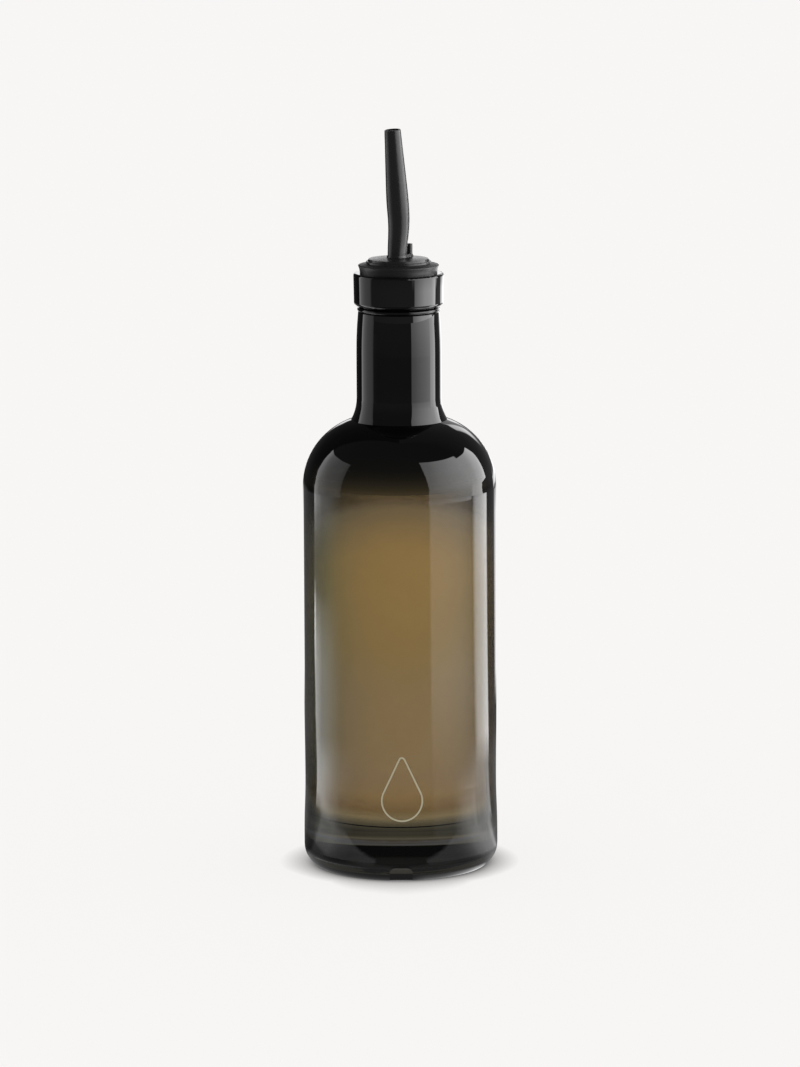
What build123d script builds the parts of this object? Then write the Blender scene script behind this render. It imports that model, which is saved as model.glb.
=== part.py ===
from build123d import *
from math import asin, atan2, cos, degrees, pi, radians, sin, sqrt
import os

# Oil bottle: a thick-based glass bottle, its fill of oil, and a bent spout on a ribbed
# rubber stopper. Millimetres, +Z up. The bottle's axis is Z and it stands on z = 0.
# The notch in the heel faces -Y. The spout leans towards -X and -Y, and its breather
# tube stands on the far side of the cap.

# ---------------------------------------------------------------- glass: outside
body_radius = 36.33         # straight wall below the shoulder
body_height = 144.4         # height at which the shoulder starts
base_step = 0.32            # the heavy base stands out past the wall
base_band = 4.1             # straight band of the base, above the heel
waist_draw = 0.18           # slight waist where base and wall meet
waist_rise = 22.0           # from the band up to the waist
wall_rise = 28.0            # from the waist up to the straight wall
shoulder_radius = 26.6      # radius of the shoulder's arc
neck_radius = 15.9
neck_flare = 2.1            # how far the neck's foot runs out to the crease
flare_radius = 17.0         # radius of that run-out
neck_length = 42.3          # crease at the shoulder to the underside of the ring
neck_draw = 0.7             # the neck draws in by this much at its top
neck_taper_start = 17.0     # and does so over this length below the ring
bead_height = 1.3           # fine bead between neck and ring
bead_proud = 0.3            # bead past the top of the neck
bead_groove = 0.45          # depth of the grooves above and below the bead
ring_height = 12.9
ring_overhang = 1.0         # ring past the neck's radius
ring_draft = 0.2            # ring is wider at the top by this much
ring_undercut = 1.4         # height of the sloped underside
ring_edge_radius = 0.9      # upper edge
ring_foot_radius = 1.2      # lower edge

# ---------------------------------------------------------------- glass: foot
heel_depth = 4.2            # how far the heel runs in from the base radius
heel_height = 7.4
heel_seam_z = 3.7           # mould seam between body mould and base plate
heel_seam_step = 0.15
heel_seam_depth = 0.95      # the seam lies this far in from the base radius
bearing_width = 2.6         # flat ring that the bottle stands on
punt_height = 2.8           # hollow under the base
notch_width = 8.5           # index notch in the front of the heel
notch_height = 5.8
notch_corner = 2.2          # radius of its two upper corners
notch_depth = 0.7           # below the straight line from bearing ring to base wall
notch_edge_radius = 0.15    # rounding of its arch

# ---------------------------------------------------------------- glass: inside
wall = 3.3
floor_thickness = 20.0
floor_corner_radius = 3.0
neck_wall = 4.8
bore_radius = 9.5           # mouth, which the stopper's ribs fill
bore_past_cork = 3.0        # the straight bore goes on below the cork
bore_run_out = 9.0          # cone from the bore to the inside of the neck
mouth_edge_radius = 0.9
throat_flare = 2.0          # the neck opens by this much towards the shoulder
throat_edge_radius = 5.0    # rounding where it meets the inside of the shoulder

# ---------------------------------------------------------------- oil
oil_fill = 1.5              # level above the start of the shoulder
oil_gap = 0.15              # from the glass all round; the oil stands on the floor

# ---------------------------------------------------------------- stopper
flange_inset = 1.7          # flange's rim inside the ring's edge
flange_height = 3.0         # seat on the ring up to the rim
flange_draft = 0.75         # the rim stands out past the seat
flange_crown = 0.75         # rise from the rim to the seat of the cap
flange_edge_radius = 0.3
cork_length = 26.0
rib_count = 5
rib_reach = 1.15            # ribs past the cork
rib_height = 1.5
rib_gap = 0.15              # rib to bore
cork_lead = 1.4             # chamfer at the cork's end
stem_gap = 0.1              # rubber to stem and to breather

# ---------------------------------------------------------------- spout
cap_inset = 3.1             # cap's edge inside the flange's rim
cap_lip = 0.75              # thin lip that lies on the flange
cap_lip_edge_radius = 0.2
cap_step = 0.6              # from the lip in to the raised part
cap_step_height = 0.8
cap_crown = 0.65            # rise from the step to the middle
cap_edge_bevel = 0.35
boss_height = 0.85
boss_margin = 0.35          # collar past the two tubes
boss_draw_in = 0.4          # the collar's top is this much smaller all round
pour_azimuth = 223.0        # direction in which the spout leans, degrees from +X
spout_offset = 0.9          # foot of the spout, from the axis to the pouring side
spout_foot_radius = 3.42
spout_swell = 0.74          # how much wider the spout is where it is widest
spout_tip_radius = 3.0
spout_wall = 0.5
spout_tip_edge_radius = 0.2
spout_lower = 12.2          # from the cap up to the bend
spout_upper = 35.6          # from the bend to the tip
spout_swell_at = 21.6       # height along the spout of its widest point
spout_taper_curve = 1.08    # above 1: the taper starts slowly
spout_lean_back = 6.2       # degrees, below the bend
spout_lean_out = 5.1        # degrees, above the bend
spout_bend_radius = 36.0
stem_wall = 0.48
stem_tail = 2.0             # stem past the end of the cork
vent_radius = 1.15
vent_bore = 0.6
vent_inset = 1.45           # rubber between the breather and the cork's side
vent_height = 4.5           # above the cap's middle
vent_tail = 5.0             # breather past the end of the cork

# ---------------------------------------------------------------- sizes that follow
base_radius = body_radius + base_step
waist_radius = body_radius - waist_draw
base_top_z = heel_height + base_band
waist_z = base_top_z + waist_rise
wall_start_z = waist_z + wall_rise
crease_radius = neck_radius + neck_flare
neck_top_radius = neck_radius - neck_draw
shoulder_centre = body_radius - shoulder_radius
crease_z = body_height + sqrt(shoulder_radius**2 - (crease_radius - shoulder_centre) ** 2)
neck_top_z = crease_z + neck_length
mouth_z = neck_top_z + ring_height
ring_radius = neck_radius + ring_overhang
oil_level = body_height + oil_fill
cork_radius = bore_radius - rib_gap - rib_reach
cork_end_z = mouth_z - cork_length
flange_radius = ring_radius - flange_inset
rim_z = mouth_z + flange_height
cap_radius = flange_radius - cap_inset
cap_seat_z = rim_z + flange_crown
cap_top_z = cap_seat_z + cap_lip + cap_step_height + cap_crown
pour_direction = Vector(cos(radians(pour_azimuth)), sin(radians(pour_azimuth)), 0)
stem_bore = spout_foot_radius - spout_wall
stem_radius = stem_bore + stem_wall
vent_offset = cork_radius - vent_inset - vent_radius
spout_foot = pour_direction * spout_offset
vent_foot = pour_direction * -vent_offset


def solid_of_revolution(profile):
    """Turn a closed outline, given as radius and height, round the Z axis."""
    return revolve(Plane.XZ * make_face(profile), Axis.Z)


def slow_bow(start, end):
    """Two tangent arcs that join two upright walls of different radius."""
    middle = ((start[0] + end[0]) / 2, (start[1] + end[1]) / 2)
    first = TangentArc(start, middle, tangent=(0, 1))
    return [first, TangentArc(middle, end, tangent=first % 1)]


def arc_from_centre(centre, radius, start_angle, end_angle):
    """Arc round a centre, between two angles in degrees."""
    return CenterArc(centre, radius, start_angle, end_angle - start_angle)


# ---------------------------------------------------------------- glass
def foot_outline():
    """Punt, bearing ring and heel, from the axis out to the upright base wall."""
    bearing_out = base_radius - heel_depth
    bearing_in = bearing_out - bearing_width
    seam = (base_radius - heel_seam_depth, heel_seam_z)
    proud_seam = (seam[0] + heel_seam_step, seam[1])
    heel_top = (base_radius, heel_height)
    return [
        ThreePointArc((0, punt_height), (bearing_in * 0.55, punt_height * 0.74), (bearing_in, 0)),
        Line((bearing_in, 0), (bearing_out, 0)),
        SagittaArc((bearing_out, 0), seam, -heel_seam_z * 0.14),
        Line(seam, proud_seam),
        TangentArc(heel_top, proud_seam, tangent=(0, -1)),
    ]


def shoulder_outline():
    """Shoulder arc up to the crease, then the concave foot of the neck."""
    crease_angle = degrees(asin((crease_z - body_height) / shoulder_radius))
    flare_centre_r = neck_radius + flare_radius
    flare_rise = sqrt(flare_radius**2 - (flare_centre_r - crease_radius) ** 2)
    flare_centre = (flare_centre_r, crease_z + flare_rise)
    flare_angle = 180 + degrees(atan2(flare_rise, flare_centre_r - crease_radius))
    return [
        arc_from_centre((shoulder_centre, body_height), shoulder_radius, 0, crease_angle),
        arc_from_centre(flare_centre, flare_radius, flare_angle, 180),
    ]


def finish_outline():
    """Neck, bead, ring and mouth, from the flare up and in to the bore."""
    taper_z = neck_top_z - neck_taper_start
    groove_radius = neck_top_radius - bead_groove
    groove_z = neck_top_z - bead_height
    bead = (neck_top_radius + bead_proud, neck_top_z - bead_height / 2)
    taper_end = (neck_top_radius, groove_z - bead_groove)
    ring_foot = (ring_radius - ring_draft, neck_top_z + ring_undercut)
    return [
        Line(shoulder_outline()[1] @ 1, (neck_radius, taper_z)),
        TangentArc((neck_radius, taper_z), taper_end, tangent=(0, 1)),
        Line(taper_end, (groove_radius, groove_z)),
        ThreePointArc((groove_radius, groove_z), bead, (groove_radius, neck_top_z)),
        Line((groove_radius, neck_top_z), ring_foot),
        Line(ring_foot, (ring_radius, mouth_z)),
        Line((ring_radius, mouth_z), (bore_radius, mouth_z)),
    ]


def cavity_section(gap, top_z):
    """Half section of the space inside, drawn in by a gap and cut off level at top_z."""
    inner_radius = body_radius - wall - gap
    inner_shoulder = shoulder_radius - wall - gap
    inner_neck = neck_radius - neck_wall - gap
    inner_bore = bore_radius - gap
    corner = floor_corner_radius + 2 * gap
    corner_z = floor_thickness + corner
    bore_end_z = cork_end_z - bore_past_cork
    run_out_z = bore_end_z - bore_run_out
    throat_radius = inner_neck + throat_flare
    throat_rise = sqrt(inner_shoulder**2 - (throat_radius - shoulder_centre) ** 2)
    throat = (throat_radius, body_height + throat_rise)
    section = make_face([
        Line((0, floor_thickness), (inner_radius - corner, floor_thickness)),
        RadiusArc((inner_radius - corner, floor_thickness), (inner_radius, corner_z), -corner),
        Line((inner_radius, corner_z), (inner_radius, body_height)),
        RadiusArc((inner_radius, body_height), throat, -inner_shoulder),
        TangentArc((inner_neck, run_out_z), throat, tangent=(0, -1)),
        Line((inner_neck, run_out_z), (inner_bore, bore_end_z)),
        Line((inner_bore, bore_end_z), (inner_bore, mouth_z)),
        Line((inner_bore, mouth_z), (0, mouth_z)),
        Line((0, mouth_z), (0, floor_thickness)),
    ])
    throat_vertex = section.vertices().sort_by_distance((throat[0], throat[1], 0))[0]
    section = fillet(throat_vertex, throat_edge_radius)
    return section & Rectangle(4 * body_radius, top_z, align=(Align.CENTER, Align.MIN))


def edges_at(part, radius, z):
    """Round edges of a turned part that lie at one radius and height."""
    found = []
    for edge in part.edges().filter_by(GeomType.CIRCLE):
        on_height = abs(edge.center(CenterOf.BOUNDING_BOX).Z - z) < 1e-3
        if on_height and abs(edge.radius - radius) < 1e-3:
            found.append(edge)
    return found


def heel_notch():
    """Cutter for the index notch, square to the slope of the heel."""
    slope = Vector(0, -heel_depth, heel_height).normalized()
    outward = Vector(0, -heel_height, -heel_depth).normalized()
    foot = Vector(0, heel_depth - base_radius, 0)
    plane = Plane(origin=foot, x_dir=(1, 0, 0), z_dir=outward)
    top = notch_height / slope.Z
    outline = Pos(0, top) * Rectangle(notch_width, top + heel_height, align=(Align.CENTER, Align.MAX))
    outline = fillet(outline.vertices().group_by(Axis.Y)[-1], notch_corner)
    return extrude(plane.offset(-notch_depth) * outline, heel_height)


def make_bottle():
    wall_outline = [
        Line((base_radius, heel_height), (base_radius, base_top_z)),
        *slow_bow((base_radius, base_top_z), (waist_radius, waist_z)),
        *slow_bow((waist_radius, waist_z), (body_radius, wall_start_z)),
        Line((body_radius, wall_start_z), (body_radius, body_height)),
    ]
    close = [Line((bore_radius, mouth_z), (0, mouth_z)), Line((0, mouth_z), (0, punt_height))]
    outline = foot_outline() + wall_outline + shoulder_outline() + finish_outline() + close
    glass = solid_of_revolution(outline)
    glass = fillet(edges_at(glass, ring_radius, mouth_z), ring_edge_radius)
    ring_foot_edges = edges_at(glass, ring_radius - ring_draft, neck_top_z + ring_undercut)
    glass = fillet(ring_foot_edges, ring_foot_radius)
    glass -= revolve(Plane.XZ * cavity_section(0, mouth_z), Axis.Z)
    glass = fillet(edges_at(glass, bore_radius, mouth_z), mouth_edge_radius)
    notched = glass - heel_notch()
    rim = new_edges(glass, combined=notched).filter_by(GeomType.BSPLINE)
    return fillet([edge for edge in rim if edge.center().Z > heel_seam_z], notch_edge_radius)


def make_oil():
    return revolve(Plane.XZ * cavity_section(oil_gap, oil_level), Axis.Z)


# ---------------------------------------------------------------- stopper
def cork_profile():
    """Ribbed cork and its flange, from the axis at the cork's end up to the cap's seat."""
    rib_radius = bore_radius - rib_gap
    rib_pitch = (cork_length - cork_lead) / rib_count
    points = [(0, cork_end_z), (cork_radius - cork_lead, cork_end_z), (cork_radius, cork_end_z + cork_lead)]
    for rib in range(rib_count):
        rib_top = cork_end_z + cork_lead + (rib + 0.5) * rib_pitch
        points += [
            (cork_radius, rib_top - rib_height),
            (rib_radius, rib_top - rib_height / 3),
            (rib_radius, rib_top),
            (cork_radius, rib_top),
        ]
    seat_radius = flange_radius - flange_draft
    points += [(cork_radius, mouth_z), (seat_radius, mouth_z)]
    side = SagittaArc((seat_radius, mouth_z), (flange_radius, rim_z), flange_height * 0.06)
    return [
        Polyline(*points),
        side,
        Line((flange_radius, rim_z), (cap_radius, cap_seat_z)),
        Line((cap_radius, cap_seat_z), (0, cap_seat_z)),
        Line((0, cap_seat_z), (0, cork_end_z)),
    ]


def upright_rod(foot, radius, bottom_z, top_z):
    """Upright cylinder on a foot point of the plan."""
    return extrude(Pos(foot.X, foot.Y, bottom_z) * Circle(radius), top_z - bottom_z)


def make_stopper():
    rubber = solid_of_revolution(cork_profile())
    rubber = fillet(edges_at(rubber, flange_radius, rim_z), flange_edge_radius)
    rubber -= upright_rod(spout_foot, stem_radius + stem_gap, cork_end_z, cap_seat_z)
    rubber -= upright_rod(vent_foot, vent_radius + stem_gap, cork_end_z, cap_seat_z)
    return rubber


# ---------------------------------------------------------------- spout
def leaning(angle):
    """Unit vector that leans from upright towards the pouring side."""
    return pour_direction * sin(radians(angle)) + Vector(0, 0, cos(radians(angle)))


def spout_radius(height):
    """Outer radius at a height along the spout above the cap."""
    length = spout_lower + spout_upper
    if height < spout_swell_at:
        return spout_foot_radius + spout_swell * sin(pi / 2 * height / spout_swell_at)
    widest = spout_foot_radius + spout_swell
    share = ((height - spout_swell_at) / (length - spout_swell_at)) ** spout_taper_curve
    return widest + (spout_tip_radius - widest) * share


def spout_shape(thinner, past_tip):
    """Loft along the bent centre line, thinner by a wall, with a run past the tip."""
    start = spout_foot + Vector(0, 0, cap_top_z)
    bend = start + leaning(-spout_lean_back) * spout_lower
    tip = bend + leaning(spout_lean_out) * spout_upper
    line = FilletPolyline(start, bend, tip, radius=spout_bend_radius)
    across = Vector(-pour_direction.Y, pour_direction.X, 0)
    foot_plane = Plane(origin=spout_foot + Vector(0, 0, cap_seat_z), x_dir=across, z_dir=(0, 0, 1))
    sections = [foot_plane * Circle(spout_foot_radius - thinner)]
    stations = 10
    for station in range(stations + 1):
        share = station / stations
        plane = Plane(origin=line @ share, x_dir=across, z_dir=line % share)
        sections.append(plane * Circle(spout_radius(share * line.length) - thinner))
    end = Plane(origin=tip + leaning(spout_lean_out) * past_tip, x_dir=across, z_dir=line % 1)
    if past_tip:
        sections.append(end * Circle(spout_tip_radius - thinner))
    return loft(sections)


def cap_profile():
    """Domed cap from the axis at its underside out over the lip and up the step."""
    lip_top = cap_seat_z + cap_lip
    step_radius = cap_radius - cap_step
    step_top = lip_top + cap_step_height
    return [
        Line((0, cap_seat_z), (cap_radius, cap_seat_z)),
        Line((cap_radius, cap_seat_z), (cap_radius, lip_top)),
        Line((cap_radius, lip_top), (step_radius, lip_top)),
        Line((step_radius, lip_top), (step_radius - cap_edge_bevel, step_top)),
        SagittaArc((step_radius - cap_edge_bevel, step_top), (0, cap_top_z), -cap_crown * 0.2),
        Line((0, cap_top_z), (0, cap_seat_z)),
    ]


def collar_outline(margin):
    """Outline round the feet of spout and breather, past both by a margin."""
    spout_ring = Pos(spout_foot) * Circle(spout_foot_radius + margin)
    vent_ring = Pos(vent_foot) * Circle(vent_radius + margin)
    return make_hull(spout_ring.edges() + vent_ring.edges())


def make_spout():
    cap = solid_of_revolution(cap_profile())
    cap = fillet(edges_at(cap, cap_radius, cap_seat_z + cap_lip), cap_lip_edge_radius)
    collar = Pos(0, 0, cap_top_z) * collar_outline(boss_margin)
    collar_top = Pos(0, 0, cap_top_z + boss_height) * collar_outline(boss_margin - boss_draw_in)
    boss = extrude(collar, cap_top_z - cap_seat_z, dir=(0, 0, -1)) + loft([collar, collar_top], ruled=True)
    stem_end_z = cork_end_z - stem_tail
    vent_end_z = cork_end_z - vent_tail
    vent_top_z = cap_top_z + vent_height
    tube = spout_shape(0, 0)
    tube = fillet(tube.edges().sort_by(Axis.Z)[-1], spout_tip_edge_radius)
    metal = cap + boss + tube
    metal += upright_rod(spout_foot, stem_radius, stem_end_z, cap_seat_z)
    metal += upright_rod(vent_foot, vent_radius, vent_end_z, vent_top_z)
    metal -= spout_shape(spout_wall, 1)
    metal -= upright_rod(spout_foot, stem_bore, stem_end_z, cap_seat_z)
    metal -= upright_rod(vent_foot, vent_bore, vent_end_z, vent_top_z)
    return metal


os.makedirs("parts", exist_ok=True)
pieces = {"bottle": make_bottle(), "oil": make_oil(), "stopper": make_stopper(), "spout": make_spout()}
for name, piece in pieces.items():
    export_step(piece, f"parts/{name}.step")
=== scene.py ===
import math
import bpy
from mathutils import Matrix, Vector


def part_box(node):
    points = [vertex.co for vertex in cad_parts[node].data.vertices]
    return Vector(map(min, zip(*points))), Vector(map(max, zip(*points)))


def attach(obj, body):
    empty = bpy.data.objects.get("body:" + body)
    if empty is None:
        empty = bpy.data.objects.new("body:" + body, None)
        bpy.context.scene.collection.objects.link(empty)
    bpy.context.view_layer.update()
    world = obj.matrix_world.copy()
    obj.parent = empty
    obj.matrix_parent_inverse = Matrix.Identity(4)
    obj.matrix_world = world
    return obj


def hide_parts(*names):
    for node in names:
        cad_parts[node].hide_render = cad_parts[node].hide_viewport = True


# Oil bottle in a white studio. The CAD bottle, stopper and spout stay and get their finishes;
# the oil is a new piece that reaches into the glass, and the drop outline is new.
# Azimuths are degrees from the front, + to the right. Lengths are in metres unless a note says mm.

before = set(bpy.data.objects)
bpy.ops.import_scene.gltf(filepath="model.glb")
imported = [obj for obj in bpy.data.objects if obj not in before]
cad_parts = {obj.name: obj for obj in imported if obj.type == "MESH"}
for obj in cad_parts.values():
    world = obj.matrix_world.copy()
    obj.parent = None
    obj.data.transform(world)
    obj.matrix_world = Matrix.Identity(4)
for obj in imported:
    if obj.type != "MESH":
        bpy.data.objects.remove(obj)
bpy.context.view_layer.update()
mm = 0.001
upright = 0.9  # a face whose normal has this much of a direction points that way
white = (0.939, 0.922, 0.913, 1)  # the studio's paper white
untinted = (1, 1, 1, 1)
black = (0, 0, 0, 1)
print("frame loaded")


def deselectAll():
    if bpy.context.mode != "OBJECT":
        bpy.ops.object.mode_set(mode="OBJECT")
    bpy.ops.object.select_all(action="DESELECT")


def activate(obj):
    deselectAll()
    obj.select_set(True)
    bpy.context.view_layer.objects.active = obj


def edit(obj):
    # open one object alone in edit mode, nothing in it selected
    activate(obj)
    bpy.ops.object.mode_set(mode="EDIT")
    bpy.ops.mesh.select_all(action="DESELECT")


def pickFaces(obj, wanted):
    # select the faces that pass a test on their centre and normal
    bpy.ops.object.mode_set(mode="OBJECT")
    for face in obj.data.polygons:
        face.select = wanted(face.center, face.normal)
    bpy.ops.object.mode_set(mode="EDIT")
    bpy.ops.mesh.select_mode(type="FACE")


def settle(obj):
    # place, turn and scale go into the mesh
    activate(obj)
    bpy.ops.object.transform_apply(location=True, rotation=True, scale=True)


def newMaterial(name):
    material = bpy.data.materials.new(name)
    material.use_nodes = True
    tree = material.node_tree
    return material, tree, tree.nodes["Principled BSDF"]


def wear(obj, material):
    # give a piece its one material
    if obj.material_slots:
        obj.material_slots[0].material = material
    else:
        obj.data.materials.append(material)


def setSocket(tree, socket, value):
    if isinstance(value, bpy.types.NodeSocket):
        tree.links.new(value, socket)
    elif value is not None:
        socket.default_value = value


def mathNode(tree, operation, first, second=None, third=None, clamp=False):
    node = tree.nodes.new("ShaderNodeMath")
    node.operation = operation
    node.use_clamp = clamp
    for socket, value in zip(node.inputs, (first, second, third)):
        setSocket(tree, socket, value)
    return node.outputs[0]


def times(tree, first, *others):
    for other in others:
        first = mathNode(tree, "MULTIPLY", first, other)
    return first


def plus(tree, first, *others):
    for other in others:
        first = mathNode(tree, "ADD", first, other)
    return first


def minus(tree, first, second):
    return mathNode(tree, "SUBTRACT", first, second)


def share(tree, value, low, high):
    # 0 at low and 1 at high, held there beyond them
    return mathNode(tree, "DIVIDE", minus(tree, value, low), high - low, clamp=True)


def between(tree, value, low, high):
    # 1 from low to high, else 0
    return times(tree, mathNode(tree, "GREATER_THAN", value, low), mathNode(tree, "LESS_THAN", value, high))


def mix(tree, mode, factor, first, second):
    node = tree.nodes.new("ShaderNodeMix")
    node.data_type = "RGBA"
    node.blend_type = mode
    setSocket(tree, node.inputs["Factor"], factor)
    setSocket(tree, node.inputs["A"], first)
    setSocket(tree, node.inputs["B"], second)
    return node.outputs["Result"]


def tint(tree, first, second):
    # one colour multiplied by another
    return mix(tree, "MULTIPLY", 1, first, second)


def blend(tree, factor, first, second):
    # a plain number between two others
    node = tree.nodes.new("ShaderNodeMix")
    setSocket(tree, node.inputs["Factor"], factor)
    setSocket(tree, node.inputs["A"], first)
    setSocket(tree, node.inputs["B"], second)
    return node.outputs["Result"]


def course(tree, value, points):
    # a number or colour that follows a list of (place, value) along another number
    low, high = points[0][0], points[-1][0]
    coloured = isinstance(points[0][1], tuple)
    peak = 1 if coloured else max(level for _, level in points)
    node = tree.nodes.new("ShaderNodeValToRGB")
    line = node.color_ramp
    while len(line.elements) < len(points):
        line.elements.new(0.5)
    for element, (place, level) in zip(line.elements, points):
        element.position = (place - low) / (high - low)
        element.color = level + (1,) if coloured else (level / peak,) * 3 + (1,)
    tree.links.new(share(tree, value, low, high), node.inputs[0])
    return node.outputs[0] if coloured else times(tree, node.outputs[0], peak)


def signedCourse(tree, value, points):
    # as course, for numbers below zero too
    base = min(level for _, level in points)
    lifted = course(tree, value, [(place, level - base + 1) for place, level in points])
    return plus(tree, lifted, base - 1)


def ownCoords(tree):
    # the piece's own coordinates, whole and one by one
    coords = tree.nodes.new("ShaderNodeTexCoord")
    split = tree.nodes.new("ShaderNodeSeparateXYZ")
    tree.links.new(coords.outputs["Object"], split.inputs[0])
    return coords.outputs["Object"], split.outputs


def newGroup(name, inputs, outputs):
    group = bpy.data.node_groups.new(name, "ShaderNodeTree")
    for label, kind in inputs:
        group.interface.new_socket(name=label, in_out="INPUT", socket_type=kind)
    for label, kind in outputs:
        group.interface.new_socket(name=label, in_out="OUTPUT", socket_type=kind)
    return group, group.nodes.new("NodeGroupInput").outputs, group.nodes.new("NodeGroupOutput").inputs


def useGroup(tree, group, **values):
    node = tree.nodes.new("ShaderNodeGroup")
    node.node_tree = group
    for label, value in values.items():
        setSocket(tree, node.inputs[label], value)
    return node.outputs


def makeAzimuthGroup():
    # azimuth round the bottle, and distance from its axis
    group, given, result = newGroup(
        "azimuth", [("Vector", "NodeSocketVector")],
        [("Azimuth", "NodeSocketFloat"), ("Distance", "NodeSocketFloat")])
    split = group.nodes.new("ShaderNodeSeparateXYZ")
    group.links.new(given["Vector"], split.inputs[0])
    forward = times(group, split.outputs["Y"], -1)
    turn = mathNode(group, "ARCTAN2", split.outputs["X"], forward)
    group.links.new(mathNode(group, "DEGREES", turn), result["Azimuth"])
    squares = [mathNode(group, "POWER", way, 2) for way in (split.outputs["X"], forward)]
    group.links.new(mathNode(group, "SQRT", plus(group, *squares)), result["Distance"])
    return group


azimuthGroup = makeAzimuthGroup()


def clearBody(principled, ior):
    # a body that light goes through, with a polished skin
    principled.inputs["Transmission Weight"].default_value = 1
    principled.inputs["Roughness"].default_value = 0
    principled.inputs["IOR"].default_value = ior


def absorb(tree, settings):
    # colour that deepens with the way light goes inside
    volume = tree.nodes.new("ShaderNodeVolumeAbsorption")
    volume.inputs["Color"].default_value = settings["absorbs"]
    volume.inputs["Density"].default_value = settings["density"]
    tree.links.new(volume.outputs[0], tree.nodes["Material Output"].inputs["Volume"])


def showPick(tree, factor, first, second):
    # the surface is the first shader where the factor is 0 and the second where it is 1
    pick = tree.nodes.new("ShaderNodeMixShader")
    for socket, value in zip(pick.inputs, (factor, first, second)):
        setSocket(tree, socket, value)
    tree.links.new(pick.outputs[0], tree.nodes["Material Output"].inputs["Surface"])


cameraSet = {
    "place": (0, -1.9, 0.4574),
    "pitch": 80.11,  # degrees from straight down
    "roll": -0.25,
    "lens": 172.98,  # mm, as the sensor
    "shift": 0.0003,
    "sensor": 36,
}


def addCamera():
    data = bpy.data.cameras.new("camera")
    data.lens = cameraSet["lens"]
    data.sensor_width = cameraSet["sensor"]
    data.shift_x = cameraSet["shift"]
    camera = bpy.data.objects.new("camera", data)
    pitch = Matrix.Rotation(math.radians(cameraSet["pitch"]), 4, "X")
    roll = Matrix.Rotation(math.radians(cameraSet["roll"]), 4, "Z")
    camera.matrix_world = Matrix.Translation(cameraSet["place"]) @ pitch @ roll
    bpy.context.scene.collection.objects.link(camera)
    bpy.context.scene.camera = camera


addCamera()
bpy.context.scene.view_settings.view_transform = "Standard"
print("camera placed")


# white to the camera and as light, a dim room with a window and a low glint to gloss
worldSet = {
    # brightness follows the azimuth, or the sine of the elevation in room and the lists named Rise
    "room": [(0.0, 0.11), (0.1, 0.1), (0.3, 0.075), (1.0, 0.065)],
    "roomTurn": [(-180, 0.6), (-168, 0.4), (-125, 0.35), (-120, 1.0), (100, 1.0), (122, 1.3), (180, 1.3)],
    "insideGlass": 0.06,  # share of the white that light still brings after a bounce inside the glass
    "seam": -90,  # where the azimuths of window and glint start over
    "window": [(156.5, 0.0), (159, 2.0), (165, 2.0), (167, 0.4), (184, 0.4), (187, 0.0)],
    "windowRise": [(0.1, 0.0), (0.2, 1.0), (0.43, 1.0), (0.46, 0.0)],
    "glint": [(169, 0.0), (172, 1.5), (188, 1.5), (191, 0.0)],
    "glintRise": [(0.02, 0.0), (0.05, 1.0), (0.15, 1.0), (0.2, 0.0)],
}


def dimInside(tree, path, plain):
    # paper as seen through glass, dimmer after a bounce inside it
    bounced = mathNode(tree, "MINIMUM", path.outputs["Glossy Depth"], 1)
    dim = tuple(worldSet["insideGlass"] * value for value in white[:3]) + (1,)
    return mix(tree, "MIX", bounced, plain, dim)


def makeWorld():
    world = bpy.data.worlds.new("studio")
    bpy.context.scene.world = world
    world.use_nodes = True
    tree = world.node_tree
    coords = tree.nodes.new("ShaderNodeTexCoord")
    split = tree.nodes.new("ShaderNodeSeparateXYZ")
    tree.links.new(coords.outputs["Generated"], split.inputs[0])
    azimuth = useGroup(tree, azimuthGroup, Vector=coords.outputs["Generated"])["Azimuth"]
    rise = split.outputs["Z"]
    fromSeam = mathNode(tree, "WRAP", azimuth, worldSet["seam"] + 360, worldSet["seam"])

    def light(name):
        return times(
            tree, course(tree, fromSeam, worldSet[name]), course(tree, rise, worldSet[name + "Rise"]))

    room = times(
        tree, course(tree, rise, worldSet["room"]), course(tree, azimuth, worldSet["roomTurn"]))
    gloss = plus(tree, light("window"), light("glint"), room)
    path = tree.nodes.new("ShaderNodeLightPath")
    through = dimInside(tree, path, white)
    byGlass = mix(tree, "MIX", path.outputs["Is Transmission Ray"], gloss, through)
    seen = mix(tree, "MIX", path.outputs["Is Glossy Ray"], white, byGlass)
    tree.links.new(seen, tree.nodes["Background"].inputs["Color"])


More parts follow.
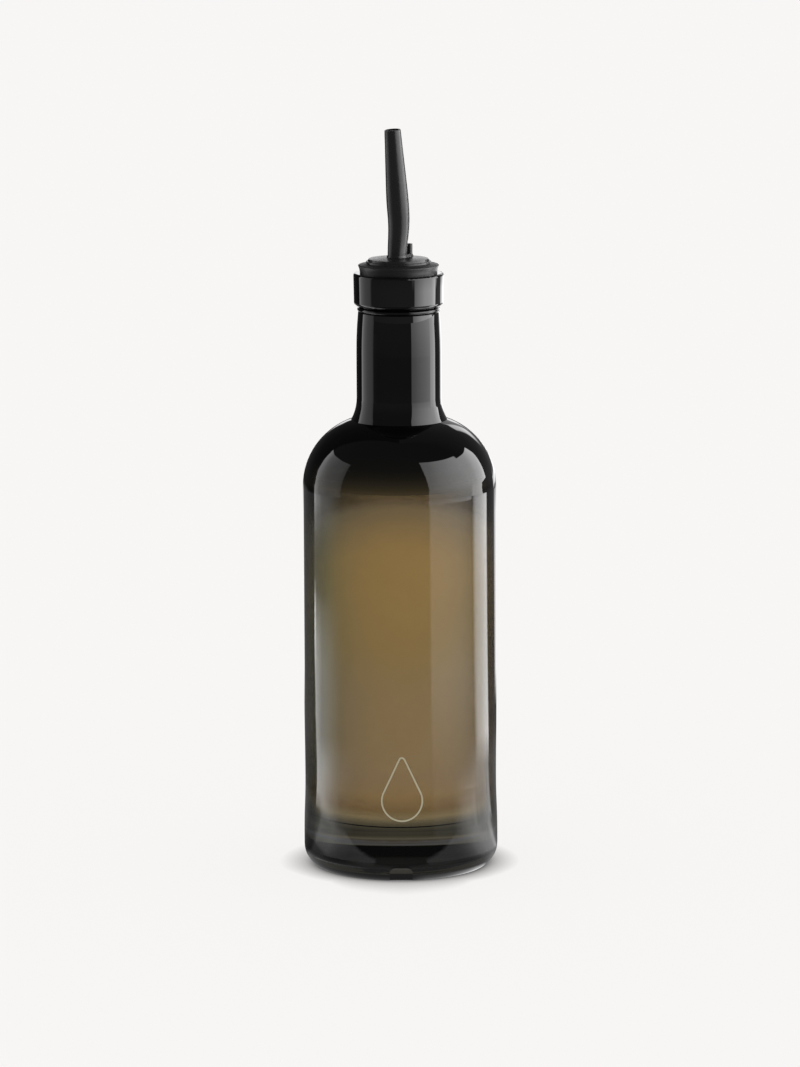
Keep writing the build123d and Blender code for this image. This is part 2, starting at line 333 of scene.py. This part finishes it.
floorSet = {
    "size": 8.0,
    "ownLight": 0.9,  # share of the paper's white that no shadow dims
    "contactSamples": 16,
    # azimuth, and how far the shadow round the bottle reaches
    "contactReach": [
        (-180, 0.011), (-75, 0.011), (-60, 0.0095), (-38, 0.0085), (-22, 0.015), (0, 0.021), (22, 0.015),
        (38, 0.0085), (60, 0.009), (75, 0.01), (180, 0.01)],

    # what gloss sees: light and shade painted on the table, for reflections only. Each list holds
    # azimuth and brightness, and the list of the same name with Far behind it holds distance from
    # the axis and the share of that brightness there

    # close by, the painted light on the table in front ends at an edge, given across and forward
    "edge": [(0.018, -0.047), (0.028, -0.066)],
    "edgeSoft": 0.003,
    "pastEdge": 0.08,  # brightness in front of it
    "near": [
        (-180, 0.05), (-122, 0.08), (-112, 0.2), (-107, 0.27), (-102, 0.45), (-97, 1.1), (-86, 1.2),
        (-76, 1.35), (-62, 0.8), (-50, 0.6), (52, 0.6), (62, 0.75), (72, 1.15), (80, 1.8), (92, 2.0),
        (100, 1.75), (107, 1.5), (112, 1.7), (116, 1.4), (119, 0.6), (125, 0.3), (134, 0.2), (180, 0.2)],
    "nearFar": [(0.028, 0.1), (0.036, 0.15), (0.046, 0.25), (0.052, 0.55), (0.065, 0.8), (0.078, 1.0)],
    # azimuth, and how far nearFar moves out there, or where near ends
    "nearShift": [(-180, 0.026), (-105, 0.026), (-75, 0.014), (-50, 0.008), (-30, 0), (180, 0)],
    "nearReach": [(-180, 0.156), (-105, 0.156), (-90, 0.148), (-50, 0.12), (180, 0.12)],
    "nearReachSoft": 0.012,

    # beyond near, up to where the far pools take over
    "middle": [
        (-180, 0.05), (-126, 0.1), (-122, 3.0), (-111.5, 3.2), (-106, 2.9), (-100, 3.0), (-92, 2.5),
        (-82, 1.5), (-70, 0.5), (-50, 0.1), (33, 0.1), (37, 0.3), (84, 0.5), (94, 1.2), (97, 1.7),
        (121, 1.7), (125, 0.2), (180, 0.2)],
    "farFrom": (0.2, 0.26),
    "rightNear": [(58, 0), (66, 0.6), (72, 1.2), (80, 1.6), (90, 1.4), (94, 0.5), (99, 0)],
    "rightNearFar": [
        (0.09, 0), (0.1, 0.2), (0.115, 0.5), (0.13, 1.0), (0.165, 1.1), (0.185, 0.5), (0.21, 0.1),
        (0.24, 0)],
    "leftBase": [(-180, 0.1), (-135, 0.1), (-120, 0.06), (-100, 0)],

    # far painted pools and lines of light
    "leftLine": [(-121.5, 0), (-120, 4.2), (-116.5, 0)],
    "leftLineFar": [(0.4, 0), (0.46, 0.6), (0.5, 0.8), (0.56, 1.0), (0.6, 0.4), (0.64, 0)],
    "backRims": [(-180, 1.2), (-164, 1.2), (-160, 0), (150, 0), (154, 1.2), (180, 1.2)],
    "backRimsFar": [(0.3, 0), (0.38, 1.0), (0.8, 1.0), (1.0, 0)],
    # distance from the axis, and the azimuth at which the left side's light starts there
    "leftStart": [
        (0.15, -111), (0.19, -112), (0.25, -115), (0.3, -117), (0.42, -119.5), (0.6, -120.3),
        (0.9, -120.5)],
    "leftStartSoft": 0.8,
    "leftPool": [
        (-124, 3.6), (-119.5, 3.6), (-117, 2.9), (-113, 2.4), (-108, 2.0), (-104, 1.5), (-97, 1.35),
        (-90, 1.05), (-85, 0.75), (-79, 0.4), (-72, 0.05), (-60, 0)],
    "leftPoolFar": [
        (0.42, 1.0), (0.48, 0.85), (0.55, 0.5), (0.6, 0.15), (0.65, 0.1), (0.7, 0.1), (0.76, 0.2),
        (0.82, 0.45), (0.86, 0.7)],
    "leftBack": [(-175, 0), (-165, 0.11), (-125, 0.11), (-121, 0)],
    "leftBackFar": [(0.9, 1.0), (1.2, 0)],
    "rightSoft": [(34, 0), (37, 1.1), (75, 1.1), (92, 0.6), (97, 0)],
    "rightSoftFar": [
        (0.12, 0.05), (0.19, 0.3), (0.3, 0.6), (0.42, 1.0), (0.57, 0.85), (0.66, 0.95), (0.74, 0.95),
        (0.86, 1.15)],
    "strip": [
        (94.5, 0), (97, 1.8), (100, 3.0), (102, 3.5), (105, 3.55), (113, 3.95), (122, 4.3), (124, 4.4),
        (126, 0)],
    "stripFar": [(0.6, 1.0), (0.75, 1.12), (0.88, 1.12), (0.96, 0)],
    "rightBack": [(147.5, 0), (150, 1.9), (173, 1.9), (176, 0)],
    "rightBackFar": [(1.0, 0), (1.15, 1.0), (1.95, 1.0), (2.2, 0.1)],
    # distance from the axis, and how bright the table is there without any of these
    "room": [
        (0.3, 0.07), (0.5, 0.07), (0.8, 0.12), (1.1, 0.1), (1.3, 0.08), (1.5, 0.085), (2.0, 0.1),
        (3.4, 0.11)],

    # painted light close under the heel, which the shadow there doesn't dim
    "heelGlow": [(8, 0), (16, 0.35), (30, 0.5), (42, 0.9), (58, 1.2), (68, 0.8), (75, 0)],
    "heelGlowFar": [(0.02, 0), (0.03, 1.0), (0.035, 1.0), (0.0365, 0)],
    "heelSoft": [(-110, 0), (-90, 0.25), (90, 0.25), (110, 0)],
    "heelSoftFar": [(0.025, 0), (0.03, 1.0), (0.043, 1.0), (0.047, 0.3), (0.053, 0)],
    "heelLine": [(-80, 0), (-74, 0.4), (-30, 0.35), (-22, 0)],
    "heelLineFar": [(0.0402, 0), (0.0408, 1.0), (0.0422, 1.0), (0.0428, 0)],

    # painted light and shade on the paper that only glass lets one see, by azimuth, and the painted
    # bands that stand in for the thick base's bands, by distance from the axis: where it is the last
    # colour, it changes nothing
    "behind": [
        (-180, (0.906, 0.89, 0.88)), (-172, (0.93, 0.915, 0.905)), (-164, (0.985, 0.968, 0.95)),
        (-150, (0.985, 0.968, 0.93)), (-140, (0.985, 0.968, 0.84)), (-130, (0.939, 0.922, 0.85)),
        (-120, (0.939, 0.922, 0.913)), (99, (0.939, 0.922, 0.913)), (104, (0.7, 0.69, 0.66)),
        (111, (0.42, 0.43, 0.38)), (120, (0.6, 0.72, 0.8)), (143, (0.62, 0.76, 0.84)),
        (150, (0.74, 0.82, 0.86)), (156, (0.8, 0.84, 0.86)), (164, (0.84, 0.84, 0.85)),
        (172, (0.88, 0.87, 0.86)), (180, (0.906, 0.89, 0.88))],
    "paintedBaseBands": [
        (0.045, (0.11, 0.11, 0.07)), (0.0505, (0.12, 0.12, 0.075)), (0.054, (0.2, 0.2, 0.14)),
        (0.0565, (0.29, 0.28, 0.2)), (0.06, (0.27, 0.26, 0.18)), (0.0635, (0.11, 0.105, 0.07)),
        (0.068, (0.18, 0.17, 0.115)), (0.073, (0.27, 0.24, 0.165)), (0.078, (0.38, 0.34, 0.25)),
        (0.085, (0.62, 0.56, 0.43)), (0.092, (0.55, 0.49, 0.4)), (0.098, (0.5, 0.43, 0.36)),
        (0.1015, (0.53, 0.45, 0.41)), (0.105, (0.58, 0.53, 0.55)), (0.1115, (0.6, 0.585, 0.68)),
        (0.12, (0.7, 0.69, 0.79)), (0.127, (0.71, 0.71, 0.88)), (0.164, (0.695, 0.713, 0.99)),
        (0.2, (0.72, 0.75, 1.0)), (0.33, (0.74, 0.77, 0.98)), (0.44, (0.75, 0.76, 0.8)),
        (0.6, (0.74, 0.74, 0.74))],
}


def glossMap(tree, around, coords):
    # the light and shade painted on the table that gloss sees, and apart from that the painted light under
    # the heel
    azimuth, distance = around["Azimuth"], around["Distance"]

    def part(name):
        level = course(tree, azimuth, floorSet[name])
        if name + "Far" in floorSet:
            level = times(tree, level, course(tree, distance, floorSet[name + "Far"]))
        return level

    def crossing(value, line, soft):
        # 0 below the line and 1 above it
        return share(tree, minus(tree, value, line), -soft, soft)

    moved = minus(tree, distance, part("nearShift"))
    near = times(tree, course(tree, azimuth, floorSet["near"]), course(tree, moved, floorSet["nearFar"]))
    edge = signedCourse(tree, mathNode(tree, "ABSOLUTE", coords["X"]), floorSet["edge"])
    near = blend(tree, crossing(coords["Y"], edge, floorSet["edgeSoft"]), floorSet["pastEdge"], near)
    start = signedCourse(tree, distance, floorSet["leftStart"])
    started = crossing(azimuth, start, floorSet["leftStartSoft"])
    middle = times(tree, part("middle"), started)
    beyond = crossing(distance, part("nearReach"), floorSet["nearReachSoft"])
    close = plus(tree, blend(tree, beyond, near, middle), part("rightNear"), part("leftBase"))
    room = times(
        tree, course(tree, distance, floorSet["room"]), course(tree, azimuth, worldSet["roomTurn"]))
    pools = [part(name) for name in ("leftLine", "backRims", "leftBack", "rightSoft", "strip", "rightBack")]
    far = plus(tree, room, *pools, times(tree, part("leftPool"), started))
    underHeel = plus(tree, part("heelGlow"), part("heelSoft"), part("heelLine"))
    return blend(tree, share(tree, distance, *floorSet["farFrom"]), close, far), underHeel


def paper():
    material, tree, principled = newMaterial("paper")
    tree.nodes.remove(principled)
    vector, coords = ownCoords(tree)
    around = useGroup(tree, azimuthGroup, Vector=vector)
    contact = tree.nodes.new("ShaderNodeAmbientOcclusion")
    contact.samples = floorSet["contactSamples"]
    tree.links.new(course(tree, around["Azimuth"], floorSet["contactReach"]), contact.inputs["Distance"])
    shade = contact.outputs["AO"]
    # plain sight: mostly its own light, dimmed by the contact shadow
    glow = tree.nodes.new("ShaderNodeEmission")
    glow.inputs["Strength"].default_value = floorSet["ownLight"]
    shaded = tree.nodes.new("ShaderNodeVectorMath")
    shaded.operation = "SCALE"
    shaded.inputs[0].default_value = white[:3]
    tree.links.new(shade, shaded.inputs["Scale"])
    tree.links.new(shaded.outputs[0], glow.inputs["Color"])
    matt = tree.nodes.new("ShaderNodeBsdfDiffuse")
    matt.inputs["Color"].default_value = (1 - floorSet["ownLight"],) * 3 + (1,)
    plain = tree.nodes.new("ShaderNodeAddShader")
    tree.links.new(glow.outputs[0], plain.inputs[0])
    tree.links.new(matt.outputs[0], plain.inputs[1])
    # painted light and shade, seen only through the glass
    path = tree.nodes.new("ShaderNodeLightPath")
    baseBandTint = course(tree, around["Distance"], floorSet["paintedBaseBands"])
    baseBandTint = mix(tree, "DIVIDE", 1, baseBandTint, floorSet["paintedBaseBands"][-1][1] + (1,))
    behind = tint(tree, course(tree, around["Azimuth"], floorSet["behind"]), baseBandTint)
    through = tint(tree, dimInside(tree, path, behind), shade)
    # painted light and shade that only gloss sees
    level, underHeel = glossMap(tree, around, coords)
    level = plus(tree, times(tree, level, shade), underHeel)
    seen = tree.nodes.new("ShaderNodeEmission")
    tree.links.new(
        mix(tree, "MIX", path.outputs["Is Transmission Ray"], level, through), seen.inputs["Color"])
    showPick(tree, path.outputs["Is Glossy Ray"], plain.outputs[0], seen.outputs[0])
    return material


def makeFloor():
    bpy.ops.mesh.primitive_plane_add(size=floorSet["size"])
    floor = bpy.context.object
    floor.name = "floor"
    wear(floor, paper())


# tall light cards that only gloss sees
cardShape = {
    "facets": 72,
    "margin": 3,  # degrees of card kept beyond its lit sides
    "softTop": 0.012,  # metres over which its light ends at the top
}

cardSets = {  # metres from the axis and up; tops, sides and across go by azimuth, up by height
    "leftCard": {
        "away": 0.9, "low": 0.0, "tops": [(-124, 0.71), (-73, 0.81)],
        "sides": [(-125, 0.0), (-123.5, 1.0), (-74, 1.0), (-73, 0.0)],
        "across": [(-125, 2.1), (-116, 1.7), (-110, 1.2), (-95, 0.85), (-80, 0.75), (-73, 0.5)],
        "up": [(0.0, 1.0), (0.9, 1.0)],
        "start": [(0.4, -118.5), (0.8, -124.5)],  # height and azimuth: its outer edge leans
    },
    "rightSoftCard": {
        "away": 0.88, "low": 0.0, "tops": [(34, 1.2), (97, 0.88)],
        "sides": [(33.5, 0.0), (34.5, 1.0), (92.5, 1.0), (95, 0.0)],
        "across": [
            (33.5, 0.5), (38, 0.53), (45, 0.6), (52, 0.7), (63, 0.83), (75, 0.93), (85, 1.0), (95, 1.05)],
        "up": [
            (0.0, 3.0), (0.03, 2.4), (0.065, 2.4), (0.1, 2.7), (0.15, 3.1), (0.25, 3.8), (0.6, 4.0),
            (0.95, 3.6)],
    },
    "rightEdgeCard": {
        "away": 0.92, "low": 0.0, "tops": [(88, 0.85), (126, 0.735)],
        "sides": [(88, 0.0), (88.5, 1.0), (125.5, 1.0), (126, 0.0)],
        "across": [(88, 3.9), (104, 4.0), (112, 4.4), (120, 4.7), (126, 5.2)],
        "up": [(0.0, 0.95), (0.05, 1.05), (0.16, 1.05), (0.25, 1.0), (0.9, 1.0)],
        "end": [(0.0, 115.5), (0.15, 114.5), (0.18, 126)],
    },
    "ringCard": {  # close round the ring, so that only the ring mirrors it
        "away": 0.05, "low": 0.2078, "tops": [(-66, 0.226), (150, 0.226)],
        "sides": [(-66, 0.0), (-62, 1.0), (148, 1.0), (150, 0.0)],
        "across": [
            (-66, 0.16), (34, 0.2), (35.5, 2.3), (41, 3.0), (46, 3.6), (53, 4.4), (60, 5.2), (80, 5.4),
            (87, 6.2), (93, 6.6), (94, 0.3), (117, 0.3), (119, 3.0), (150, 3.0)],
        "up": [(0.2, 1.0), (0.23, 1.0)],
        "square": (0.08, 0.12),  # seen at a slant beyond this, it vanishes
    },
}


def cardLight(name, card):
    material, tree, principled = newMaterial(name)
    tree.nodes.remove(principled)
    vector, coords = ownCoords(tree)
    azimuth = useGroup(tree, azimuthGroup, Vector=vector)["Azimuth"]
    glow = tree.nodes.new("ShaderNodeEmission")
    level = times(tree, course(tree, azimuth, card["across"]), course(tree, coords["Z"], card["up"]))
    tree.links.new(level, glow.inputs["Strength"])
    belowTop = minus(tree, course(tree, azimuth, card["tops"]), coords["Z"])
    lit = times(
        tree, mathNode(tree, "DIVIDE", belowTop, cardShape["softTop"], clamp=True),
        course(tree, azimuth, card["sides"]))
    if "square" in card:
        slant = tree.nodes.new("ShaderNodeLayerWeight").outputs["Facing"]
        lit = times(tree, lit, minus(tree, 1, share(tree, slant, *card["square"])))
    for side, test in (("start", "GREATER_THAN"), ("end", "LESS_THAN")):
        if side in card:
            lit = times(
                tree, lit, mathNode(tree, test, azimuth, signedCourse(tree, coords["Z"], card[side])))
    clear = tree.nodes.new("ShaderNodeBsdfTransparent")
    showPick(tree, lit, clear.outputs[0], glow.outputs[0])
    return material


def makeCard(name, card):
    first, last = card["sides"][0][0], card["sides"][-1][0]
    high = max(height for _, height in card["tops"])
    bpy.ops.mesh.primitive_cylinder_add(
        vertices=cardShape["facets"], radius=card["away"], depth=high - card["low"],
        end_fill_type="NOTHING", location=(0, 0, (high + card["low"]) / 2))
    obj = bpy.context.object
    obj.name = name
    settle(obj)
    edit(obj)

    def outside(centre, normal):
        azimuth = math.degrees(math.atan2(centre.x, -centre.y))
        return not first - cardShape["margin"] <= azimuth <= last + cardShape["margin"]

    pickFaces(obj, outside)
    bpy.ops.mesh.delete(type="FACE")
    bpy.ops.object.mode_set(mode="OBJECT")
    wear(obj, cardLight(name, card))
    obj.visible_camera = False
    obj.visible_diffuse = False
    obj.visible_transmission = False
    obj.visible_shadow = False


makeWorld()
makeFloor()
for cardName, cardSet in cardSets.items():
    makeCard(cardName, cardSet)
print("studio ready")


# the space that holds the oil, which the glass's wetted side and the oil share
oilLow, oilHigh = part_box("oil")
oilSpace = {  # mm
    "wall": oilHigh.x / mm + 0.15,  # the CAD oil keeps this gap off the wall, and stands on the floor
    "floor": oilLow.z / mm,
    "level": oilHigh.z / mm,
}


glassSet = {  # mm from the axis, and heights in mm
    "ior": 1.5,
    "inside": 34.0,  # the inner wall is nearer than this
    "insideSpan": (19.5, 154),  # heights between which only the outer wall is tinted
    "wetWithin": oilSpace["wall"] + 0.27,  # the oil can only touch nearer than this
    "wetSpan": (oilSpace["floor"] - 0.05, oilSpace["level"] + 0.74),  # its lowest and highest touch
    "cornerShadeLine": (oilSpace["floor"] + 0.05, oilSpace["floor"] + 0.75),  # painted shade: a dark line round the inner floor's corner
    "body": [(80, (0.5, 0.515, 0.53)), (108, (0.56, 0.555, 0.54))],  # height, tint of the outer wall
    "slantDrop": 20,  # how far the lacquer's end sinks where the wall is seen edge on
    "slantBelow": 150,  # it sinks only below this height
    "fade": [  # height, share of light that the lacquer lets through
        (118, (1.0, 1.0, 1.0)), (126, (0.96, 0.96, 1.0)), (130, (0.84, 0.86, 1.0)),
        (134, (0.7, 0.75, 0.98)), (138, (0.56, 0.63, 0.93)), (142, (0.45, 0.54, 0.85)),
        (145, (0.21, 0.23, 0.36)), (145.6, (0.14, 0.145, 0.19)), (146.4, (0.115, 0.115, 0.12)),
        (149, (0.04, 0.04, 0.04)), (152, (0.008, 0.007, 0.005)), (156, (0.0, 0.0, 0.0))],
    "paintedGlow": [  # height, painted glow: light the glass emits, standing in for light that scatters in the lacquer's thin end and a faint veil over the black
        (139, (0, 0, 0)), (144, (0.003, 0.0025, 0.0015)), (146.4, (0.02, 0.015, 0.008)),
        (147.1, (0.037, 0.027, 0.0125)), (147.9, (0.027, 0.0195, 0.0085)),
        (148.7, (0.0215, 0.016, 0.007)), (150.5, (0.0135, 0.0105, 0.006)),
        (152.5, (0.007, 0.0055, 0.003)), (155, (0.003, 0.0028, 0.002)), (160, (0.002, 0.002, 0.002))],
    # height, and painted shade low in the heel: share of light let through, darker towards the bottom,
    # standing in for the dark that the thick base shows
    "heel": [
        (0, (0, 0, 0)), (2.7, (0, 0, 0)), (3.0, (0.075, 0.07, 0.045)), (4.5, (0.08, 0.075, 0.05)),
        (5.3, (0.24, 0.24, 0.2)), (7, (0.3, 0.3, 0.3)), (11.5, (0.6, 0.6, 0.6)), (13.5, (1, 1, 1))],
    # 0 where the wall faces the eye and 1 edge on, share of light that it lets through
    "edge": [
        (0.0, 1.0), (0.046, 0.945), (0.09, 0.89), (0.16, 0.79), (0.206, 0.71), (0.25, 0.64), (0.33, 0.53),
        (0.44, 0.36), (0.54, 0.25), (0.57, 0.07), (0.7, 0.06), (1.0, 0.04)],
    "absorbs": (0.625, 0.607, 0.562, 1),
    "density": 25,
}


def smokedGlass():
    material, tree, principled = newMaterial("smokedGlass")
    clearBody(principled, glassSet["ior"])
    absorb(tree, glassSet)
    vector, coords = ownCoords(tree)
    height = times(tree, coords["Z"], 1 / mm)
    away = times(tree, useGroup(tree, azimuthGroup, Vector=vector)["Distance"], 1 / mm)
    slant = tree.nodes.new("ShaderNodeLayerWeight").outputs["Facing"]
    sunk = times(
        tree, slant, glassSet["slantDrop"], mathNode(tree, "LESS_THAN", height, glassSet["slantBelow"]))
    fade = course(tree, plus(tree, height, sunk), glassSet["fade"])
    edge = course(tree, slant, glassSet["edge"])
    tinted = tint(tree, fade, edge)
    # the heel's list is painted shade, the body's a tint of the outer wall
    for name in ("heel", "body"):
        tinted = tint(tree, tinted, course(tree, height, glassSet[name]))
    inside = times(
        tree, mathNode(tree, "LESS_THAN", away, glassSet["inside"]),
        between(tree, height, *glassSet["insideSpan"]))
    tinted = mix(tree, "MIX", inside, tinted, untinted)
    # where oil touches the glass nothing bends or mirrors, but painted shade keeps the floor's corner dark
    wet = times(
        tree, mathNode(tree, "LESS_THAN", away, glassSet["wetWithin"]),
        between(tree, height, *glassSet["wetSpan"]))
    surface = tree.nodes.new("ShaderNodeNewGeometry")
    corner = times(
        tree, surface.outputs["Backfacing"], between(tree, height, *glassSet["cornerShadeLine"]), wet)
    tinted = mix(tree, "MIX", corner, tinted, black)
    tree.links.new(tinted, principled.inputs["Base Color"])
    tree.links.new(minus(tree, 1, minus(tree, wet, corner)), principled.inputs["Alpha"])
    # painted glow: the glass emits this light, weaker where the wall is seen edge on, and none on the inner
    # wall
    paintedGlow = tint(tree, course(tree, height, glassSet["paintedGlow"]), edge)
    paintedGlow = mix(tree, "MIX", inside, paintedGlow, black)
    tree.links.new(paintedGlow, principled.inputs["Emission Color"])
    principled.inputs["Emission Strength"].default_value = 1
    return material


wear(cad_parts["bottle"], smokedGlass())
print("glass done")


oilSet = {
    "wallRadius": oilSpace["wall"] * mm,
    "intoWall": 0.12 * mm,
    "corner": 3.0 * mm,
    "cornerSteps": 10,
    "sides": 192,
    "sharp": 35,  # degrees; smaller bends are shaded smooth
    "upper": 100 * mm,  # above this lies only the open surface
    # the surface climbs at the wall: steps inwards, and how far each drops, in mm
    "meniscus": [(0.25, -0.55), (0.5, -0.3), (0.9, -0.12), (1.5, -0.03), (3.0, 0.0)],
    "ior": 1.49,
    "absorbs": (0.7645, 0.6045, 0.221, 1),
    "density": 40,
}


def amberOil():
    material, tree, principled = newMaterial("oil")
    clearBody(principled, oilSet["ior"])
    absorb(tree, oilSet)
    principled.inputs["Base Color"].default_value = untinted
    # only the open surface bends light; the sides lie in the glass
    vector, coords = ownCoords(tree)
    away = useGroup(tree, azimuthGroup, Vector=vector)["Distance"]
    surface = times(
        tree, mathNode(tree, "LESS_THAN", away, oilSet["wallRadius"]),
        mathNode(tree, "GREATER_THAN", coords["Z"], oilSet["upper"]))
    tree.links.new(surface, principled.inputs["Alpha"])
    return material


def makeOil():
    climb = -sum(drop for _, drop in oilSet["meniscus"]) * mm
    bottom = oilLow.z - oilSet["intoWall"]
    top = oilHigh.z + climb
    bpy.ops.mesh.primitive_cylinder_add(
        vertices=oilSet["sides"], radius=oilSet["wallRadius"] + oilSet["intoWall"],
        depth=top - bottom, location=(0, 0, (top + bottom) / 2))
    oil = bpy.context.object
    oil.name = "oilFill"
    settle(oil)
    edit(oil)
    pickFaces(oil, lambda centre, normal: normal.z > upright)
    for inset, drop in oilSet["meniscus"]:
        bpy.ops.mesh.inset(thickness=inset * mm, depth=0)
        bpy.ops.transform.translate(value=(0, 0, drop * mm))
    pickFaces(oil, lambda centre, normal: normal.z < -upright)
    bpy.ops.mesh.bevel(offset=oilSet["corner"], segments=oilSet["cornerSteps"], affect="EDGES")
    bpy.ops.object.mode_set(mode="OBJECT")
    bpy.ops.object.shade_smooth_by_angle(angle=math.radians(oilSet["sharp"]))
    wear(oil, amberOil())
    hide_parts("oil")
    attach(oil, "root")


makeOil()
print("oil done")


# a drop outline printed on the front
dropSet = {
    "place": (0.45 * mm, 31.2 * mm),  # centre of the round part, across and up
    "round": 7.85 * mm,
    "tip": 1.35 * mm,
    "tall": 15.45 * mm,  # from the centre of the round part to the centre of the tip
    "line": 0.6 * mm,
    "proud": 0.02 * mm,
    "sides": 96,
    "deep": 1 * mm,  # the discs' own thickness, of which only the front is kept
    "flat": 0.5,  # degrees; flatter corners of the skin are dissolved
    "start": 1.05,  # times the bottle's radius: where the discs stand before they go onto the glass
    "ink": (0.4, 0.375, 0.26, 1),
    "thinInk": (0.1, 0.09, 0.05, 1),
    "unevenness": 0.12,
    "blotches": 900,  # scale of the unevenness
    "blotchDetail": 3,
    "roughness": 0.45,
    "facesFront": 0.2,  # a normal turned less forward than this is the print's edge or back
    "behind": 0.12,  # how strongly the print shows from behind, through the bottle
}


def dropInk():
    material, tree, principled = newMaterial("dropInk")
    coords = tree.nodes.new("ShaderNodeTexCoord")
    blotch = tree.nodes.new("ShaderNodeTexNoise")
    blotch.inputs["Scale"].default_value = dropSet["blotches"]
    blotch.inputs["Detail"].default_value = dropSet["blotchDetail"]
    tree.links.new(coords.outputs["Object"], blotch.inputs["Vector"])
    thin = times(tree, blotch.outputs["Fac"], dropSet["unevenness"])
    tree.links.new(
        mix(tree, "MIX", thin, dropSet["ink"], dropSet["thinInk"]), principled.inputs["Base Color"])
    principled.inputs["Roughness"].default_value = dropSet["roughness"]
    turned = tree.nodes.new("ShaderNodeVectorMath")
    turned.operation = "DOT_PRODUCT"
    tree.links.new(coords.outputs["Normal"], turned.inputs[0])
    turned.inputs[1].default_value = (0, -1, 0)  # the way the print faces
    surface = tree.nodes.new("ShaderNodeNewGeometry")
    forward = mathNode(tree, "GREATER_THAN", turned.outputs["Value"], dropSet["facesFront"])
    inward = mathNode(tree, "MAXIMUM", minus(tree, 1, forward), surface.outputs["Backfacing"])
    tree.links.new(blend(tree, inward, 1, dropSet["behind"]), principled.inputs["Alpha"])
    return material


def makeDrop():
    # two discs, the skin stretched over both, and its rim kept
    across, up = dropSet["place"]
    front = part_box("bottle")[0].y * dropSet["start"]
    discs = []
    for radius, height in ((dropSet["round"], up), (dropSet["tip"], up + dropSet["tall"])):
        bpy.ops.mesh.primitive_cylinder_add(
            vertices=dropSet["sides"], radius=radius, depth=dropSet["deep"],
            location=(across, front, height), rotation=(math.pi / 2, 0, 0))
        discs.append(bpy.context.object)
        settle(discs[-1])
    drop = discs[0]
    drop.select_set(True)
    bpy.context.view_layer.objects.active = drop
    bpy.ops.object.join()
    drop.name = "dropOutline"
    edit(drop)
    bpy.ops.mesh.select_all(action="SELECT")
    bpy.ops.mesh.convex_hull()
    bpy.ops.mesh.select_all(action="SELECT")
    bpy.ops.mesh.dissolve_limited(angle_limit=math.radians(dropSet["flat"]))
    pickFaces(drop, lambda centre, normal: normal.y > -upright)
    bpy.ops.mesh.delete(type="FACE")
    bpy.ops.mesh.select_all(action="SELECT")
    bpy.ops.mesh.inset(thickness=dropSet["line"], depth=0)
    bpy.ops.mesh.delete(type="FACE")
    bpy.ops.mesh.select_all(action="SELECT")
    bpy.ops.mesh.subdivide(number_cuts=1)
    bpy.ops.object.mode_set(mode="OBJECT")
    # laid onto the glass and given its thickness
    wrap = drop.modifiers.new("wrap", "SHRINKWRAP")
    wrap.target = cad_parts["bottle"]
    wrap.wrap_method = "PROJECT"
    wrap.use_project_y = True
    wrap.use_positive_direction = True
    wrap.use_negative_direction = False
    wrap.offset = dropSet["proud"]
    thick = drop.modifiers.new("thick", "SOLIDIFY")
    thick.thickness = 2 * dropSet["proud"]
    thick.offset = 1
    activate(drop)
    for modifier in ("wrap", "thick"):
        bpy.ops.object.modifier_apply(modifier=modifier)
    wear(drop, dropInk())
    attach(drop, "root")


makeDrop()
print("drop outline done")


coatingSet = {
    "color": (0.009, 0.009, 0.009, 1),
    "roughness": 0.28,
    "uneven": 0.06,  # how much rougher or smoother it gets in places
    "grainSize": 0.6 * mm,
    "grain": 0.2,
}
rubberSet = {
    "color": (0.009, 0.009, 0.009, 1),
    "roughness": 0.42,
    "uneven": 0.1,
    "grainSize": 0.4 * mm,
    "grain": 0.25,
}
grainSet = {  # what both finishes share
    "depth": 0.1 * mm,
    "detail": 2,
    "patches": 120,  # scale of the slow change of gloss
    "patchDetail": 3,
}


def makeGrainGroup():
    # fine grain of a moulded or sprayed black, with a slow change of gloss over it
    group, given, result = newGroup(
        "fineGrain",
        [("Vector", "NodeSocketVector"), ("Size", "NodeSocketFloat"), ("Strength", "NodeSocketFloat")],
        [("Normal", "NodeSocketVector"), ("Dull", "NodeSocketFloat")])
    fine = group.nodes.new("ShaderNodeTexNoise")
    fine.inputs["Detail"].default_value = grainSet["detail"]
    group.links.new(given["Vector"], fine.inputs["Vector"])
    group.links.new(mathNode(group, "DIVIDE", 1, given["Size"]), fine.inputs["Scale"])
    bump = group.nodes.new("ShaderNodeBump")
    bump.inputs["Distance"].default_value = grainSet["depth"]
    group.links.new(given["Strength"], bump.inputs["Strength"])
    group.links.new(fine.outputs["Fac"], bump.inputs["Height"])
    group.links.new(bump.outputs[0], result["Normal"])
    slow = group.nodes.new("ShaderNodeTexNoise")
    slow.inputs["Scale"].default_value = grainSet["patches"]
    slow.inputs["Detail"].default_value = grainSet["patchDetail"]
    group.links.new(given["Vector"], slow.inputs["Vector"])
    group.links.new(slow.outputs["Fac"], result["Dull"])
    return group


grainGroup = makeGrainGroup()


def blackFinish(name, settings):
    material, tree, principled = newMaterial(name)
    principled.inputs["Base Color"].default_value = settings["color"]
    vector, _ = ownCoords(tree)
    grain = useGroup(
        tree, grainGroup, Vector=vector, Size=settings["grainSize"], Strength=settings["grain"])
    duller = times(tree, grain["Dull"], 2 * settings["uneven"])
    roughness = plus(tree, duller, settings["roughness"] - settings["uneven"])
    tree.links.new(roughness, principled.inputs["Roughness"])
    tree.links.new(grain["Normal"], principled.inputs["Normal"])
    return material


wear(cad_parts["spout"], blackFinish("spoutCoating", coatingSet))
wear(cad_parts["stopper"], blackFinish("stopperRubber", rubberSet))
print("spout and stopper done")
